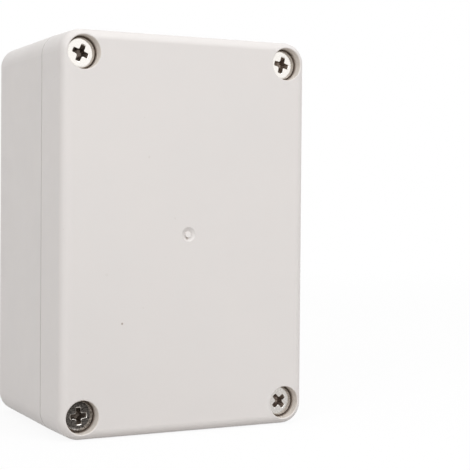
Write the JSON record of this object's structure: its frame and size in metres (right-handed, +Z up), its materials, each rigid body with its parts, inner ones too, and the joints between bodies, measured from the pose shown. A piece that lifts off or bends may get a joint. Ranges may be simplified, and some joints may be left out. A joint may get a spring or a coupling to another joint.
{
  "type": "sealed plastic project box",
  "caption": "Sealed plastic project box with a screwed lid, cord seal, threaded inserts, board bosses and hidden wall screw holes.",
  "frame": {"origin": "on the surface the box stands on, under the middle of its bounding box", "axes": "+Z up along the long side, +Y towards the back that goes against a wall, +X to the right seen from the lid"},
  "size_m": [0.068, 0.05, 0.1],
  "materials": {
    "housing_plastic": "satin moulded",
    "screw_steel": "bright nickel plated",
    "insert_brass": "machined",
    "seal_rubber": "soft matte"
  },
  "bodies": {
    "base": {"base_shell": "housing_plastic", "threaded_insert_top_left": "insert_brass", "threaded_insert_top_right": "insert_brass", "threaded_insert_bottom_left": "insert_brass", "threaded_insert_bottom_right": "insert_brass"},
    "lid": {"lid": "housing_plastic", "sealing_cord": "seal_rubber"},
    "screw_top_left": {"lid_screw_top_left": "screw_steel"},
    "screw_top_right": {"lid_screw_top_right": "screw_steel"},
    "screw_bottom_left": {"lid_screw_bottom_left": "screw_steel"},
    "screw_bottom_right": {"lid_screw_bottom_right": "screw_steel"}
  },
  "joints": [
    {"name": "lid_off", "type": "slide", "parent": "base", "child": "lid", "axis": [0, -1, 0], "range_m": [0, 0.04]},
    {"name": "screw_top_left_out", "type": "slide", "parent": "lid", "child": "screw_top_left", "axis": [0, -1, 0], "range_m": [0, 0.022]},
    {"name": "screw_top_right_out", "type": "slide", "parent": "lid", "child": "screw_top_right", "axis": [0, -1, 0], "range_m": [0, 0.022]},
    {"name": "screw_bottom_left_out", "type": "slide", "parent": "lid", "child": "screw_bottom_left", "axis": [0, -1, 0], "range_m": [0, 0.022]},
    {"name": "screw_bottom_right_out", "type": "slide", "parent": "lid", "child": "screw_bottom_right", "axis": [0, -1, 0], "range_m": [0, 0.022]}
  ]
}
